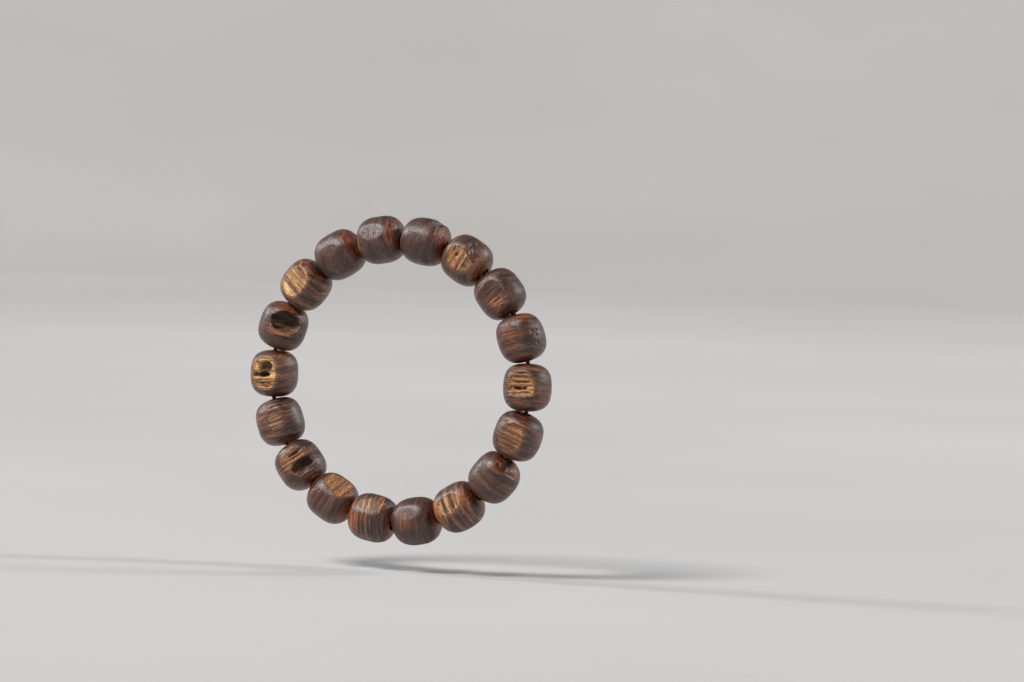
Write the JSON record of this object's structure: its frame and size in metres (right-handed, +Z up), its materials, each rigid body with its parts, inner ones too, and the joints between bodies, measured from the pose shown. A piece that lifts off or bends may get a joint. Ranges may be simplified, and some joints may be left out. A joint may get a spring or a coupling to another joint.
{
  "type": "wrist mala",
  "caption": "Closed ring of rough-grained wooden barrel beads on one elastic cord; the beads spin, the ring flexes into an oval and slips over a hand.",
  "frame": {"origin": "the hanging point: on the ring's centre line, level with the undersides of the two top beads, where a peg or a branch carries the ring", "axes": "+Z up, the ring stands upright in the XZ plane, its own axis is Y, and its front, with the raw patches of the beads, faces -Y"},
  "size_m": [0.0796, 0.0118, 0.0788],
  "materials": {
    "dark_wood": "waxed satin, dark reddish brown, with fine dark pores",
    "brown_wood": "waxed satin, mid brown, with fine dark pores",
    "tan_wood": "waxed satin shell with a raw tan patch of torn fibres",
    "golden_wood": "waxed satin shell with a raw golden patch of straight fibres",
    "cord": "dark brown braided elastic cord, matte"
  },
  "bodies": {
    "span_01": {"cord_span_01": "cord"},
    "bead_01": {"bead_01": "dark_wood"},
    "span_02": {"cord_span_02": "cord"},
    "bead_02": {"bead_02": "dark_wood"},
    "span_03": {"cord_span_03": "cord"},
    "bead_03": {"bead_03": "dark_wood"},
    "span_04": {"cord_span_04": "cord"},
    "bead_04": {"bead_04": "tan_wood"},
    "span_05": {"cord_span_05": "cord"},
    "bead_05": {"bead_05": "brown_wood"},
    "span_06": {"cord_span_06": "cord"},
    "bead_06": {"bead_06": "brown_wood"},
    "span_07": {"cord_span_07": "cord"},
    "bead_07": {"bead_07": "tan_wood"},
    "span_08": {"cord_span_08": "cord"},
    "bead_08": {"bead_08": "tan_wood"},
    "span_09": {"cord_span_09": "cord"},
    "bead_09": {"bead_09": "brown_wood"},
    "span_10": {"cord_span_10": "cord"},
    "bead_10": {"bead_10": "tan_wood"},
    "span_11": {"cord_span_11": "cord"},
    "bead_11": {"bead_11": "dark_wood"},
    "span_12": {"cord_span_12": "cord", "cord_knot": "cord"},
    "bead_12": {"bead_12": "brown_wood"},
    "span_13": {"cord_span_13": "cord"},
    "bead_13": {"bead_13": "brown_wood"},
    "span_14": {"cord_span_14": "cord"},
    "bead_14": {"bead_14": "brown_wood"},
    "span_15": {"cord_span_15": "cord"},
    "bead_15": {"bead_15": "brown_wood"},
    "span_16": {"cord_span_16": "cord"},
    "bead_16": {"bead_16": "golden_wood"},
    "span_17": {"cord_span_17": "cord"},
    "bead_17": {"bead_17": "brown_wood"},
    "span_18": {"cord_span_18": "cord"},
    "bead_18": {"bead_18": "golden_wood"}
  },
  "joints": [
    {"name": "band_squeeze", "type": "hinge", "parent": "span_03", "child": "span_02", "pos_m": [0, 0, 0.00489], "axis": [0, -1, 0], "range_deg": [-6, 6], "stiffness_Nm_per_rad": 0.6},
    {"name": "flex_02_01", "type": "hinge", "parent": "span_02", "child": "span_01", "pos_m": [-0.01112, 0, 0.00293], "axis": [0, -1, 0], "range_deg": [-4.6, 4.6]},
    {"name": "flex_01_18", "type": "hinge", "parent": "span_01", "child": "span_18", "pos_m": [-0.02089, 0, -0.00271], "axis": [0, -1, 0], "range_deg": [-1.04, 1.04]},
    {"name": "flex_18_17", "type": "hinge", "parent": "span_18", "child": "span_17", "pos_m": [-0.02815, 0, -0.01136], "axis": [0, -1, 0], "range_deg": [-3, 3]},
    {"name": "flex_17_16", "type": "hinge", "parent": "span_17", "child": "span_16", "pos_m": [-0.03201, 0, -0.02197], "axis": [0, -1, 0], "range_deg": [-5.64, 5.64]},
    {"name": "flex_16_15", "type": "hinge", "parent": "span_16", "child": "span_15", "pos_m": [-0.03201, 0, -0.03326], "axis": [0, -1, 0], "range_deg": [-5.64, 5.64]},
    {"name": "flex_15_14", "type": "hinge", "parent": "span_15", "child": "span_14", "pos_m": [-0.02815, 0, -0.04386], "axis": [0, -1, 0], "range_deg": [-3, 3]},
    {"name": "flex_14_13", "type": "hinge", "parent": "span_14", "child": "span_13", "pos_m": [-0.02089, 0, -0.05251], "axis": [0, -1, 0], "range_deg": [-1.04, 1.04]},
    {"name": "flex_13_12", "type": "hinge", "parent": "span_13", "child": "span_12", "pos_m": [-0.01112, 0, -0.05816], "axis": [0, -1, 0], "range_deg": [-4.6, 4.6]},
    {"name": "flex_03_04", "type": "hinge", "parent": "span_03", "child": "span_04", "pos_m": [0.01112, 0, 0.00293], "axis": [0, 1, 0], "range_deg": [-4.6, 4.6]},
    {"name": "flex_04_05", "type": "hinge", "parent": "span_04", "child": "span_05", "pos_m": [0.02089, 0, -0.00271], "axis": [0, 1, 0], "range_deg": [-1.04, 1.04]},
    {"name": "flex_05_06", "type": "hinge", "parent": "span_05", "child": "span_06", "pos_m": [0.02815, 0, -0.01136], "axis": [0, 1, 0], "range_deg": [-3, 3]},
    {"name": "flex_06_07", "type": "hinge", "parent": "span_06", "child": "span_07", "pos_m": [0.03201, 0, -0.02197], "axis": [0, 1, 0], "range_deg": [-5.64, 5.64]},
    {"name": "flex_07_08", "type": "hinge", "parent": "span_07", "child": "span_08", "pos_m": [0.03201, 0, -0.03326], "axis": [0, 1, 0], "range_deg": [-5.64, 5.64]},
    {"name": "flex_08_09", "type": "hinge", "parent": "span_08", "child": "span_09", "pos_m": [0.02815, 0, -0.04386], "axis": [0, 1, 0], "range_deg": [-3, 3]},
    {"name": "flex_09_10", "type": "hinge", "parent": "span_09", "child": "span_10", "pos_m": [0.02089, 0, -0.05251], "axis": [0, 1, 0], "range_deg": [-1.04, 1.04]},
    {"name": "flex_10_11", "type": "hinge", "parent": "span_10", "child": "span_11", "pos_m": [0.01112, 0, -0.05816], "axis": [0, 1, 0], "range_deg": [-4.6, 4.6]},
    {"name": "bead_01_spin", "type": "hinge", "parent": "span_01", "child": "bead_01", "pos_m": [-0.01701, 0, 0.00186], "axis": [-0.866, 0, -0.5], "continuous": true},
    {"name": "bead_02_spin", "type": "hinge", "parent": "span_02", "child": "bead_02", "pos_m": [-0.00591, 0, 0.0059], "axis": [-0.9848, 0, -0.1736], "continuous": true},
    {"name": "bead_03_spin", "type": "hinge", "parent": "span_03", "child": "bead_03", "pos_m": [0.00591, 0, 0.0059], "axis": [-0.9848, 0, 0.1736], "continuous": true},
    {"name": "bead_04_spin", "type": "hinge", "parent": "span_04", "child": "bead_04", "pos_m": [0.01701, 0, 0.00186], "axis": [-0.866, 0, 0.5], "continuous": true},
    {"name": "bead_05_spin", "type": "hinge", "parent": "span_05", "child": "bead_05", "pos_m": [0.02607, 0, -0.00574], "axis": [-0.6428, 0, 0.766], "continuous": true},
    {"name": "bead_06_spin", "type": "hinge", "parent": "span_06", "child": "bead_06", "pos_m": [0.03198, 0, -0.01597], "axis": [-0.342, 0, 0.9397], "continuous": true},
    {"name": "bead_07_spin", "type": "hinge", "parent": "span_07", "child": "bead_07", "pos_m": [0.03403, 0, -0.02761], "axis": [0, 0, 1], "continuous": true},
    {"name": "bead_08_spin", "type": "hinge", "parent": "span_08", "child": "bead_08", "pos_m": [0.03198, 0, -0.03925], "axis": [0.342, 0, 0.9397], "continuous": true},
    {"name": "bead_09_spin", "type": "hinge", "parent": "span_09", "child": "bead_09", "pos_m": [0.02607, 0, -0.04948], "axis": [0.6428, 0, 0.766], "continuous": true},
    {"name": "bead_10_spin", "type": "hinge", "parent": "span_10", "child": "bead_10", "pos_m": [0.01701, 0, -0.05708], "axis": [0.866, 0, 0.5], "continuous": true},
    {"name": "bead_11_spin", "type": "hinge", "parent": "span_11", "child": "bead_11", "pos_m": [0.00591, 0, -0.06112], "axis": [0.9848, 0, 0.1736], "continuous": true},
    {"name": "bead_12_spin", "type": "hinge", "parent": "span_12", "child": "bead_12", "pos_m": [-0.00591, 0, -0.06112], "axis": [0.9848, 0, -0.1736], "continuous": true},
    {"name": "bead_13_spin", "type": "hinge", "parent": "span_13", "child": "bead_13", "pos_m": [-0.01701, 0, -0.05708], "axis": [0.866, 0, -0.5], "continuous": true},
    {"name": "bead_14_spin", "type": "hinge", "parent": "span_14", "child": "bead_14", "pos_m": [-0.02607, 0, -0.04948], "axis": [0.6428, 0, -0.766], "continuous": true},
    {"name": "bead_15_spin", "type": "hinge", "parent": "span_15", "child": "bead_15", "pos_m": [-0.03198, 0, -0.03925], "axis": [0.342, 0, -0.9397], "continuous": true},
    {"name": "bead_16_spin", "type": "hinge", "parent": "span_16", "child": "bead_16", "pos_m": [-0.03403, 0, -0.02761], "axis": [0, 0, -1], "continuous": true},
    {"name": "bead_17_spin", "type": "hinge", "parent": "span_17", "child": "bead_17", "pos_m": [-0.03198, 0, -0.01597], "axis": [-0.342, 0, -0.9397], "continuous": true},
    {"name": "bead_18_spin", "type": "hinge", "parent": "span_18", "child": "bead_18", "pos_m": [-0.02607, 0, -0.00574], "axis": [-0.6428, 0, -0.766], "continuous": true}
  ],
  "couplings": [
    {"joint": "flex_02_01", "follows": "band_squeeze", "ratio": 0.76604},
    {"joint": "flex_01_18", "follows": "band_squeeze", "ratio": 0.17365},
    {"joint": "flex_18_17", "follows": "band_squeeze", "ratio": -0.5},
    {"joint": "flex_17_16", "follows": "band_squeeze", "ratio": -0.93969},
    {"joint": "flex_16_15", "follows": "band_squeeze", "ratio": -0.93969},
    {"joint": "flex_15_14", "follows": "band_squeeze", "ratio": -0.5},
    {"joint": "flex_14_13", "follows": "band_squeeze", "ratio": 0.17365},
    {"joint": "flex_13_12", "follows": "band_squeeze", "ratio": 0.76604},
    {"joint": "flex_03_04", "follows": "band_squeeze", "ratio": 0.76604},
    {"joint": "flex_04_05", "follows": "band_squeeze", "ratio": 0.17365},
    {"joint": "flex_05_06", "follows": "band_squeeze", "ratio": -0.5},
    {"joint": "flex_06_07", "follows": "band_squeeze", "ratio": -0.93969},
    {"joint": "flex_07_08", "follows": "band_squeeze", "ratio": -0.93969},
    {"joint": "flex_08_09", "follows": "band_squeeze", "ratio": -0.5},
    {"joint": "flex_09_10", "follows": "band_squeeze", "ratio": 0.17365},
    {"joint": "flex_10_11", "follows": "band_squeeze", "ratio": 0.76604}
  ]
}
